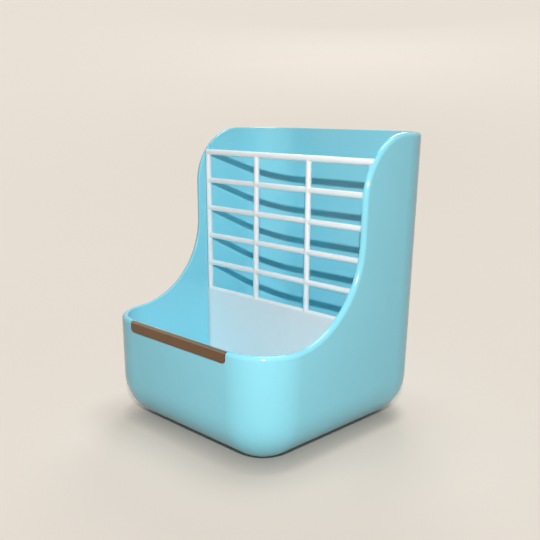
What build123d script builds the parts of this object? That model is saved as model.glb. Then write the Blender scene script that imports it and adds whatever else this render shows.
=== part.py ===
from build123d import *

import math
import os

# Hay feeder box for rabbits and guinea pigs: a drafted one-piece tub with a food
# bowl in front and a hay compartment behind, a lift-out grid between the two, and
# a folded steel guard on the rim that the animal gnaws.
#
# Millimetres. +Z is up, the bowl faces -Y, and the origin is the centre of the base.

# Tub. Width, depth and corner radius are outside sizes at the top rim. Each wall
# leans outwards by the draft angle, so the base is smaller.
width = 148.0
depth = 152.0
height = 180.0
wall = 3.5
floor = 3.5
draft = 1.2
corner_radius = 31.6
rim_round = 2.4
rim_chamfer = 0.5

# Side profile: the sides drop from the top rim to the bowl rim in an S.
bowl_rim = 66.1
compartment_front = 4.4
crown_radius = 37.0
sweep_radius = 54.0

# Guide channel in the side walls and the floor, which the grid slides into.
grid_y = 12.9
channel_depth = 1.8
channel_width = 4.8
grid_clearance = 0.3

# Grid: round bars over a plate that is hollowed from behind.
frame_bar = 3.8
upright_bar = 3.7
cross_bar = 3.6
top_bar = 163.8
bar_pitch = 19.1
window_rows = 5
window_columns = 3
middle_bar_spacing = 44.8
panel_skin = 2.0
panel_border = 5.0

# Edge guard: folded steel sheet, let into the bowl rim so that it lies flush.
guard_sheet = 0.5
guard_reach = 6.6
guard_clearance = 0.1
guard_corner = 2.5
guard_margin = 0.4

# Hooks on the back that hang the box on a cage wire.
hook_spacing = 64.0
hook_top = 152.0
hook_width = 14.0
hook_thickness = 4.0
hook_gap = 6.0
hook_drop = 16.0
hook_round = 1.5
hook_edge = 0.6

# Sizes that follow from the ones above.
slope = math.tan(math.radians(draft))
frame_radius = frame_bar / 2
grid_inset = wall - channel_depth + grid_clearance
grid_bottom = floor - channel_depth + grid_clearance
frame_inset = grid_inset + frame_radius
panel_top = top_bar - window_rows * bar_pitch
guard_inside = wall / 2 - guard_sheet

# The upright corners are parts of cones about these axes.
corner_x = width / 2 - corner_radius
corner_y = depth / 2 - corner_radius


def half_width(z, inset=0.0):
    """Half the tub's width at height z, inset from the outer skin."""
    return width / 2 - inset - (height - z) * slope


def half_depth(z, inset=0.0):
    """Half the tub's depth at height z, inset from the outer skin."""
    return depth / 2 - inset - (height - z) * slope


def section(inset, bottom, top=height):
    """A cut through the tub shape, from a corner's axis (x = 0) out to the skin.

    The base round is centred on that axis, so each lower corner is part of a ball.
    """
    ball = corner_radius - inset - (height - bottom) * slope
    ball /= 1 / math.cos(math.radians(draft)) - slope
    skin = half_width(top, inset) - corner_x
    with BuildSketch() as cut:
        with BuildLine():
            base_round = CenterArc((0, bottom + ball), ball, -90, 90 - draft)
            Polyline(base_round @ 1, (skin, top), (0, top), (0, bottom))
        make_face()
    return cut.sketch


def tub(inset, bottom):
    """The closed tub shape, inset from the outer skin and standing on a level."""
    half_section = section(inset, bottom)
    corner = Axis((corner_x, corner_y, 0), (0, 0, 1))
    with BuildPart() as shape:
        with BuildSketch(Plane(corner.position, x_dir=(1, 0, 0), z_dir=(0, -1, 0))) as side:
            add(half_section)
        extrude(amount=corner_y)
        revolve(side.sketch, corner, 90)
        with BuildSketch(Plane(corner.position, x_dir=(0, 1, 0), z_dir=(1, 0, 0))):
            add(half_section)
        extrude(amount=-corner_x)
        with Locations((0, 0, bottom)):
            Box(corner_x, corner_y, height - bottom, align=Align.MIN)
        mirror(about=Plane.YZ)
        mirror(about=Plane.XZ)
    return shape.part


# A section plane for the front of the bowl rim, which leans with the front wall.
rim_plane = Plane(
    (0, -half_depth(bowl_rim, wall / 2), bowl_rim),
    x_dir=(0, math.cos(math.radians(draft)), math.sin(math.radians(draft))),
    z_dir=(1, 0, 0),
)


def fold(radius, drop):
    """A section with a round top about the fold's axis, reaching down from the rim."""
    with BuildSketch() as tongue:
        with Locations((0, -wall / 2)):
            Circle(radius)
            Rectangle(2 * radius, drop - wall / 2, align=(Align.CENTER, Align.MAX))
    return tongue.sketch


def lower_corners(cover):
    """The edges through the lower corners of a cover that hangs over the bowl rim."""
    through = cover.edges().filter_by(Axis((0, 0, 0), rim_plane.x_dir))
    return through.filter_by(lambda edge: edge.center().Z < bowl_rim - wall)


# The rim is thinned where the guard sits, so that the guard's outside is as thick as the wall.
with BuildPart() as guard_seat:
    with BuildSketch(rim_plane):
        Rectangle(2 * wall, 2 * (guard_reach + guard_margin))
        add(fold(guard_inside - guard_clearance, guard_reach + guard_margin), mode=Mode.SUBTRACT)
    extrude(amount=corner_x + guard_margin, both=True)
    fillet(lower_corners(guard_seat), guard_corner + guard_margin)

# The slice of a slightly larger tub that the grid's edge runs in.
with BuildPart() as channel:
    add(tub(wall - channel_depth, floor - channel_depth))
    with Locations((0, grid_y, height / 2)):
        Box(width, channel_width, height, mode=Mode.INTERSECT)

with BuildPart() as housing:
    add(tub(0, 0))
    add(tub(wall, floor), mode=Mode.SUBTRACT)

    # Everything in front of and above this S-shaped line is cut off the sides.
    with BuildSketch(Plane.YZ):
        with BuildLine():
            crown = CenterArc(
                (compartment_front + crown_radius, height - crown_radius), crown_radius, 90, 90
            )
            shoulder = CenterArc(
                (compartment_front - sweep_radius, bowl_rim + sweep_radius), sweep_radius, 0, -90
            )
            Line(crown @ 1, shoulder @ 0)
            Polyline(shoulder @ 1, (-depth, bowl_rim), (-depth, 2 * height), crown @ 0)
        make_face()
    extrude(amount=width, both=True, mode=Mode.SUBTRACT)

    # The whole rim is rounded outside and has a small chamfer inside. The two front edges
    # of the top face only cross it.
    cut_edges = housing.edges(Select.NEW)
    top_edges = housing.faces().sort_by(Axis.Z)[-1].edges().sort_by(Axis.Y)[2:]
    rim_edges = cut_edges + top_edges
    cavity = tub(wall, floor).shell()
    inside, outside = rim_edges.group_by(lambda edge: edge.distance_to(cavity) > wall / 2)
    fillet(outside, rim_round)
    chamfer(inside, rim_chamfer)

    add(channel.part, mode=Mode.SUBTRACT)
    add(guard_seat.part, mode=Mode.SUBTRACT)

    # Cage hooks, open downwards.
    back = half_depth(hook_top)
    for side in (-1, 1):
        with BuildSketch(Plane.YZ.offset(side * hook_spacing / 2)) as hook_side:
            with BuildLine():
                Polyline(
                    (back - wall / 2, hook_top),
                    (back + hook_gap + hook_thickness, hook_top),
                    (back + hook_gap + hook_thickness, hook_top - hook_drop),
                    (back + hook_gap, hook_top - hook_drop),
                    (back + hook_gap, hook_top - hook_thickness),
                    (back - wall / 2, hook_top - hook_thickness),
                    close=True,
                )
            make_face()
            fillet(hook_side.vertices().sort_by(Axis.X)[2:], hook_round)
        extrude(amount=hook_width / 2, both=True)
    hook_faces = housing.faces().filter_by(Axis.X).filter_by(lambda face: face.center().Y > back)
    chamfer(hook_faces.edges().filter_by(lambda edge: edge.center().Y > back), hook_edge)
housing.part.label = "housing"

# Grid. One round bar frames the windows at the top and the sides, bars cross it, and
# a plate closes the part below and runs in the channel down to the floor.
with BuildPart() as hay_grid:
    with BuildLine(Plane.XZ.offset(-grid_y)) as half_frame:
        Polyline(
            (half_width(panel_top, frame_inset), panel_top),
            (half_width(top_bar, frame_inset), top_bar),
            (0, top_bar),
        )
    with BuildSketch(Plane(half_frame.line @ 0, z_dir=half_frame.line % 0)):
        Circle(frame_radius)
    sweep(path=half_frame.line, transition=Transition.RIGHT)
    mirror(about=Plane.YZ)

    # Cross bars, down to the round top edge of the plate.
    for row in range(1, window_rows + 1):
        bar_z = top_bar - row * bar_pitch
        with BuildSketch(Plane.YZ):
            with Locations((grid_y, bar_z)):
                Circle(cross_bar / 2)
        extrude(amount=half_width(bar_z, frame_inset), both=True)

    # Upright bars between the two sides.
    with BuildSketch(Plane.XY.offset(panel_top)):
        with Locations((0, grid_y)):
            with GridLocations(middle_bar_spacing, 0, window_columns - 1, 1):
                Circle(upright_bar / 2)
    extrude(amount=top_bar - panel_top)

    # Plate, as thick as the cross bars, with a pocket in its back.
    with BuildSketch(Plane.XZ.offset(cross_bar / 2 - grid_y)) as plate:
        with Locations((corner_x, 0)):
            add(section(grid_inset, grid_bottom, panel_top))
        with Locations((0, grid_bottom)):
            Rectangle(corner_x, panel_top - grid_bottom, align=Align.MIN)
        mirror(about=Plane.YZ)
    extrude(amount=-cross_bar)
    with BuildSketch(Plane.XZ.offset(-cross_bar / 2 - grid_y)):
        add(plate.sketch_local)
        offset(amount=-panel_border, mode=Mode.REPLACE)
    extrude(amount=cross_bar - panel_skin, mode=Mode.SUBTRACT)
hay_grid.part.label = "hay_grid"

# Edge guard. It clips over the seat in the bowl rim and leans with the front wall.
with BuildPart() as edge_guard:
    with BuildSketch(rim_plane):
        add(fold(wall / 2, guard_reach))
        add(fold(guard_inside, guard_reach), mode=Mode.SUBTRACT)
    extrude(amount=corner_x, both=True)
    fillet(lower_corners(edge_guard), guard_corner)
edge_guard.part.label = "edge_guard"

os.makedirs("parts", exist_ok=True)
for piece in (housing, hay_grid, edge_guard):
    export_step(piece.part, "parts/" + piece.part.label + ".step")
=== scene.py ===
import math

import bpy
import numpy as np
from mathutils import Matrix, Vector


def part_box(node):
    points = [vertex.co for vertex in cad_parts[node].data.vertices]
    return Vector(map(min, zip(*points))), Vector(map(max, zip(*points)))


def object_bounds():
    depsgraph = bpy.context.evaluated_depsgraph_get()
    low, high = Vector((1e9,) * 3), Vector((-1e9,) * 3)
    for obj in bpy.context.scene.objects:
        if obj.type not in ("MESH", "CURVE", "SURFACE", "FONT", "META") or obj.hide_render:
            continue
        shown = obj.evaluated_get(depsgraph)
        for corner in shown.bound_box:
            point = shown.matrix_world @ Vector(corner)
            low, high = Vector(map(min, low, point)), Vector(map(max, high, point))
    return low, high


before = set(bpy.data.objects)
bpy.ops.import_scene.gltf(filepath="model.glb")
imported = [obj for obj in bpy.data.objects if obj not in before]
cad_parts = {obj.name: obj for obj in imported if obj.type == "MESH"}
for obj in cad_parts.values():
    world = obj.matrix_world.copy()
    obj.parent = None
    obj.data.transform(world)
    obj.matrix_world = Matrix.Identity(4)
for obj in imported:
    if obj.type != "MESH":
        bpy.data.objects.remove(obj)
cad_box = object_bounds()
middle = (cad_box[0] + cad_box[1]) / 2
guard_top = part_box("edge_guard")[1][2]

# The depth at which the grid's middle plane stands, in metres.
GRID_Y = 0.0129

# Camera, in metres and degrees: where it stands, which way it looks and how wide it sees.
CAMERA_PLACE = (0.3265, -0.3292, 0.1907)
HEADING = 44.48
PITCH = -11.82
ROLL = 0.56
LENS = 50.27
SENSOR = 36.0

# Lamps: place, diameter in metres, power in watts and share in gloss. The key stands above
# and a little behind the camera, the top lamp lights the inside, and the back lamp lights
# the far walls.
LAMPS = {
    "key": ((0.354, -0.357, 0.291), 0.008, 2.32, 1.0),
    "top": ((0.0, 0.15, 0.95), 0.5, 4.2, 0.3),
    "back": ((-0.9, 1.2, 1.0), 0.8, 10.0, 0.2),
}

# The weak light from all round, and how bright the surroundings look to the camera.
FILL_COLOUR = (1.0, 0.985, 0.965)
FILL_STRENGTH = 0.06
BACKDROP_STRENGTH = 0.85

# The floor: the tone that the camera sees, the paint's own colour and the share of it that
# darker clouds keep, how much of the glow shows in reflections, the light at the top of the
# glow's range, and how near to the box the glow is shaded.
FLOOR_TONE = (0.78, 0.715, 0.64)
FLOOR_PAINT = (0.48, 0.45, 0.41)
FLOOR_CLOUDS = 0.97
MIRRORED = 0.8
FULL_LIGHT = 1.5
CONTACT_REACH = 0.014

# Base colours, each from its darker to its lighter clouds.
TURQUOISE = (0.255, 0.705, 0.84, 1.0), (0.275, 0.725, 0.86, 1.0)
WHITE = (0.87, 0.895, 0.915, 1.0), (0.89, 0.915, 0.935, 1.0)
BRONZE = (0.20, 0.115, 0.065, 1.0), (0.27, 0.16, 0.095, 1.0)
# The lighter bronze of the painted highlight along the guard's top fold.
FOLD_HIGHLIGHT_BRONZE = (0.44, 0.36, 0.27, 1.0)
BLACK = (0.0, 0.0, 0.0, 1.0)

# Depths of the surface texture, in metres.
HOUSING_PEEL = 0.00002
HOUSING_GRAIN = 0.000004
GRID_PEEL = 0.000015
PARTING_HEIGHT = 0.00004
PARTING_WIDTH = 0.00012
ROLLING_LINES = 0.000012

# Where the painted highlight along the guard's top fold starts and is fully bright, below
# its top, and how far the smudges fray it.
FOLD_HIGHLIGHT_FROM = 0.0012
FOLD_HIGHLIGHT_FULLY = 0.0003
FOLD_HIGHLIGHT_FRAY = 0.0006


# ---------------------------------------------------------------- shader nodes


class Wire:
    """A shader socket whose maths reads as a Python expression."""

    def __init__(self, finish, socket):
        self.finish = finish
        self.socket = socket

    def maths(self, operation, *values):
        settings = {"operation": operation}
        return self.finish.node("ShaderNodeMath", settings, dict(enumerate(values)))

    def __add__(self, other):
        return self.maths("ADD", self, other)

    def __radd__(self, other):
        return self.maths("ADD", other, self)

    def __sub__(self, other):
        return self.maths("SUBTRACT", self, other)

    def __rsub__(self, other):
        return self.maths("SUBTRACT", other, self)

    def __mul__(self, other):
        return self.maths("MULTIPLY", self, other)

    def __rmul__(self, other):
        return self.maths("MULTIPLY", other, self)

    def __truediv__(self, other):
        return self.maths("DIVIDE", self, other)

    def __rtruediv__(self, other):
        return self.maths("DIVIDE", other, self)

    def __abs__(self):
        return self.maths("ABSOLUTE", self)

    def power(self, exponent):
        return self.maths("POWER", self, exponent)


class Finish:
    """The node tree of a material or a world, which it empties first."""

    def __init__(self, owner):
        self.owner = owner
        owner.use_nodes = True
        self.tree = owner.node_tree
        self.tree.nodes.clear()

    def node(self, kind, settings=None, sockets=None, output=0):
        """Adds a node: its settings first, then the values or links of its sockets."""
        node = self.tree.nodes.new(kind)
        for name, value in (settings or {}).items():
            setattr(node, name, value)
        for name, value in (sockets or {}).items():
            if isinstance(value, Wire):
                self.tree.links.new(value.socket, node.inputs[name])
            else:
                node.inputs[name].default_value = value
        return Wire(self, node.outputs[output]) if node.outputs else None

    def place(self):
        """Object coordinates, which are the box's own frame in metres."""
        return self.node("ShaderNodeTexCoord", output="Object")

    def split(self, vector):
        """The X, Y and Z of a vector."""
        first = self.node("ShaderNodeSeparateXYZ", sockets={"Vector": vector})
        outputs = first.socket.node.outputs
        return [Wire(self, outputs[axis]) for axis in ("X", "Y", "Z")]

    def noise(self, scale, detail=2.0, roughness=0.5, where=None):
        """Soft noise from 0 to 1, with its scale in cycles per metre."""
        sockets = {
            "Vector": where or self.place(),
            "Scale": scale,
            "Detail": detail,
            "Roughness": roughness,
        }
        return self.node("ShaderNodeTexNoise", {"noise_dimensions": "3D"}, sockets, "Fac")

    def stretched(self, x, y, z):
        """Object coordinates multiplied along each axis."""
        sockets = {"Vector": self.place(), "Scale": (x, y, z)}
        return self.node("ShaderNodeMapping", {"vector_type": "POINT"}, sockets)

    def step(self, value, low, high, to_low=0.0, to_high=1.0):
        """A smooth step from to_low to to_high as value goes from low to high."""
        sockets = {
            "Value": value,
            "From Min": low,
            "From Max": high,
            "To Min": to_low,
            "To Max": to_high,
        }
        return self.node("ShaderNodeMapRange", {"interpolation_type": "SMOOTHSTEP"}, sockets)

    def mix(self, amount, first, second):
        """Colour first, turning to second as amount goes from 0 to 1."""
        sockets = {"Factor": amount, 6: first, 7: second}
        return self.node("ShaderNodeMix", {"data_type": "RGBA"}, sockets, output=2)

    def bump(self, height, depth, onto=None):
        """A bump whose height of 0 to 1 stands for a depth in metres."""
        sockets = {"Height": height, "Distance": depth, "Strength": 1.0}
        if onto:
            sockets["Normal"] = onto
        return self.node("ShaderNodeBump", sockets=sockets)

    def surface(self, **sockets):
        """Ends the tree with a Principled shader and returns the material."""
        named = {name.replace("_", " "): value for name, value in sockets.items()}
        shader = self.node("ShaderNodeBsdfPrincipled", sockets=named)
        self.node("ShaderNodeOutputMaterial", sockets={"Surface": shader})
        return self.owner


def material(name):
    """The empty node tree of a new material."""
    return Finish(bpy.data.materials.new(name))


# ---------------------------------------------------------------- finishes


def housing_plastic():
    """Glossy turquoise moulding plastic with orange peel and a few fine handling marks."""
    finish = material("housing_plastic")
    clouds = finish.noise(scale=28.0, detail=3.0)
    haze = finish.noise(scale=190.0, detail=4.0)
    flattened = finish.stretched(1.0, 1.0, 9.0)
    streaks = finish.noise(scale=60.0, detail=6.0, roughness=0.7, where=flattened)
    marks = finish.step(streaks, 0.62, 0.72)
    peel = finish.bump(finish.noise(scale=420.0, detail=1.0), HOUSING_PEEL)
    grain = finish.bump(finish.noise(scale=4200.0, detail=2.0), HOUSING_GRAIN, onto=peel)
    return finish.surface(
        Base_Color=finish.mix(clouds, *TURQUOISE),
        Roughness=0.09 + haze * 0.05 + marks * 0.10,
        Normal=grain,
        IOR=1.5,
    )


def grid_plastic():
    """White satin plastic, with the parting line of the mould along the bars."""
    finish = material("grid_plastic")
    clouds = finish.noise(scale=35.0, detail=3.0)
    haze = finish.noise(scale=240.0, detail=4.0)
    x, y, z = finish.split(finish.place())
    parting = finish.step(abs(y - GRID_Y), 0.0, PARTING_WIDTH, 1.0, 0.0)
    line = finish.bump(parting, PARTING_HEIGHT)
    peel = finish.bump(finish.noise(scale=500.0, detail=1.0), GRID_PEEL, onto=line)
    return finish.surface(
        Base_Color=finish.mix(clouds, *WHITE),
        Roughness=0.26 + haze * 0.10,
        Normal=peel,
        IOR=1.48,
        Subsurface_Weight=1.0,
        Subsurface_Radius=(1.0, 1.0, 1.0),
        Subsurface_Scale=0.0015,
    )


def guard_steel():
    """Bronze-toned sheet steel, rolled lengthwise and smudged, with a painted highlight along
    its top fold.
    """
    finish = material("guard_steel")
    lengthwise = finish.stretched(0.02, 1.0, 1.0)
    lines = finish.noise(scale=900.0, detail=4.0, roughness=0.65, where=lengthwise)
    smudges = finish.noise(scale=110.0, detail=4.0, roughness=0.6)
    face = finish.mix(smudges, *BRONZE)
    x, y, z = finish.split(finish.place())
    # Painted highlight: the bronze turns lighter along the guard's top fold.
    fold_highlight = finish.step(z + smudges * FOLD_HIGHLIGHT_FRAY, guard_top - FOLD_HIGHLIGHT_FROM, guard_top - FOLD_HIGHLIGHT_FULLY)
    return finish.surface(
        Base_Color=finish.mix(fold_highlight, face, FOLD_HIGHLIGHT_BRONZE),
        Metallic=1.0,
        Roughness=0.26 + lines * 0.10 + finish.step(smudges, 0.45, 0.75) * 0.12,
        Normal=finish.bump(lines, ROLLING_LINES),
    )


def floor_light(finish, place, power):
    """The light on the floor of a lamp that is aimed at the middle of the box.

    It is 1 where a white floor would look white, and falls as a small flat lamp's does.
    """
    axis = (middle - Vector(place)).normalized()
    here = finish.split(finish.place())
    normal = finish.split(finish.node("ShaderNodeNewGeometry", output="Normal"))
    ray = [point - start for point, start in zip(here, place)]
    leaving = ray[0] * axis.x + ray[1] * axis.y + ray[2] * axis.z
    arriving = ray[0] * normal[0] + ray[1] * normal[1] + ray[2] * normal[2]
    length = (ray[0] * ray[0] + ray[1] * ray[1] + ray[2] * ray[2]).power(0.5)
    light = leaving * arriving * (-power / math.pi**2) / length.power(4.0)
    return light.maths("MAXIMUM", light, 0.0)


def floor_paint():
    """Pale matt studio floor, which the camera sees evenly lit.

    A glow makes up for the fall of the lamps' light with distance, so that the floor keeps
    one tone and the object's shadow. Next to the box, occlusion darkens the glow into a
    painted contact shadow.
    """
    finish = material("floor_paint")
    clouds = finish.noise(scale=3.0)
    darker = [FLOOR_CLOUDS * channel for channel in FLOOR_PAINT]
    lit = sum(floor_light(finish, place, power) for place, _, power, _ in LAMPS.values())
    fully_lit = [tone - FULL_LIGHT * paint for tone, paint in zip(FLOOR_TONE, FLOOR_PAINT)]
    glow = finish.mix(lit / FULL_LIGHT, (*FLOOR_TONE, 1.0), (*fully_lit, 1.0))
    camera_ray = finish.node("ShaderNodeLightPath", output="Is Camera Ray")
    glossy_ray = finish.node("ShaderNodeLightPath", output="Is Glossy Ray")
    seen = camera_ray.maths("MAXIMUM", camera_ray, glossy_ray * MIRRORED)
    # Occlusion darkens the glow next to the box: a painted contact shadow.
    open_sky = finish.node(
        "ShaderNodeAmbientOcclusion", {"samples": 8}, {"Distance": CONTACT_REACH}, "AO"
    )
    return finish.surface(
        Base_Color=finish.mix(clouds, (*darker, 1.0), (*FLOOR_PAINT, 1.0)),
        Roughness=0.75,
        Specular_IOR_Level=0.0,
        Emission_Color=finish.mix(seen * open_sky, BLACK, glow),
        Emission_Strength=1.0,
    )


# ---------------------------------------------------------------- the stage


def cove(flat_radius, bend_radius, wall_height, around=128, along=48):
    """A studio floor that turns up into a wall all round.

    It is a surface of revolution. Along its profile, from share 0 to 1, a flat disc ends
    at flat_share, a quarter circle at bend_share and an upright line at 1.
    """
    flat_share = 0.3
    bend_share = 0.7
    share = np.linspace(0.0, 1.0, along)
    flat = np.clip(share / flat_share, 0.0, 1.0)
    bend = np.clip((share - flat_share) / (bend_share - flat_share), 0.0, 1.0) * math.pi / 2
    wall = np.clip((share - bend_share) / (1 - bend_share), 0.0, 1.0)
    radius = flat * flat_radius + bend_radius * np.sin(bend)
    level = bend_radius * (1 - np.cos(bend)) + wall * wall_height
    turn = np.linspace(0.0, 2 * math.pi, around, endpoint=False)
    x = radius[:, None] * np.cos(turn)
    y = radius[:, None] * np.sin(turn)
    z = np.broadcast_to(level[:, None], x.shape)
    points = np.stack([x, y, z], axis=-1).reshape(-1, 3)
    row, column = np.meshgrid(np.arange(along - 1), np.arange(around), indexing="ij")
    after = (column + 1) % around
    corners = [row * around + column, row * around + after]
    corners += [(row + 1) * around + after, (row + 1) * around + column]
    faces = np.stack(corners[::-1], axis=-1).reshape(-1, 4)
    mesh = bpy.data.meshes.new("cove")
    mesh.from_pydata(points.tolist(), [], faces.tolist())
    mesh.shade_smooth()
    piece = bpy.data.objects.new("cove", mesh)
    bpy.context.scene.collection.objects.link(piece)
    return piece


def aim(place, target):
    """A turn that points an object's -Z from a place to a target."""
    return (Vector(target) - Vector(place)).to_track_quat("-Z", "Y").to_matrix().to_4x4()


def lamp(name, place, size, power, gloss):
    """A round soft light that points at the middle of the box."""
    data = bpy.data.lights.new(name, "AREA")
    data.shape = "DISK"
    data.size = size
    data.energy = power
    data.specular_factor = gloss
    light = bpy.data.objects.new(name, data)
    light.matrix_world = Matrix.Translation(place) @ aim(place, middle)
    bpy.context.scene.collection.objects.link(light)


def surroundings():
    """Weak even light from all round, which looks pale to the camera."""
    world = bpy.data.worlds.new("studio")
    sky = Finish(world)
    camera_ray = sky.node("ShaderNodeLightPath", output="Is Camera Ray")
    strength = FILL_STRENGTH + camera_ray * (BACKDROP_STRENGTH - FILL_STRENGTH)
    sockets = {"Color": (*FILL_COLOUR, 1.0), "Strength": strength}
    light = sky.node("ShaderNodeBackground", sockets=sockets)
    sky.node("ShaderNodeOutputWorld", sockets={"Surface": light})
    bpy.context.scene.world = world


def camera():
    """The camera, from its place, heading, pitch and roll."""
    data = bpy.data.cameras.new("camera")
    data.sensor_width = SENSOR
    data.lens = LENS
    data.clip_start = 0.01
    piece = bpy.data.objects.new("camera", data)
    turn = Matrix.Rotation(math.radians(HEADING), 4, "Z")
    turn @= Matrix.Rotation(math.radians(90 + PITCH), 4, "X")
    turn @= Matrix.Rotation(math.radians(ROLL), 4, "Z")
    piece.matrix_world = Matrix.Translation(CAMERA_PLACE) @ turn
    bpy.context.scene.collection.objects.link(piece)
    bpy.context.scene.camera = piece


# ---------------------------------------------------------------- the scene

finishes = {
    "housing": housing_plastic(),
    "hay_grid": grid_plastic(),
    "edge_guard": guard_steel(),
}
for node, finish in finishes.items():
    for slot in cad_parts[node].material_slots:
        slot.material = finish

floor = cove(flat_radius=0.6, bend_radius=2.0, wall_height=0.5)
floor.data.materials.append(floor_paint())

for name, settings in LAMPS.items():
    lamp(name, *settings)
surroundings()
camera()
bpy.context.scene.view_settings.view_transform = "Standard"
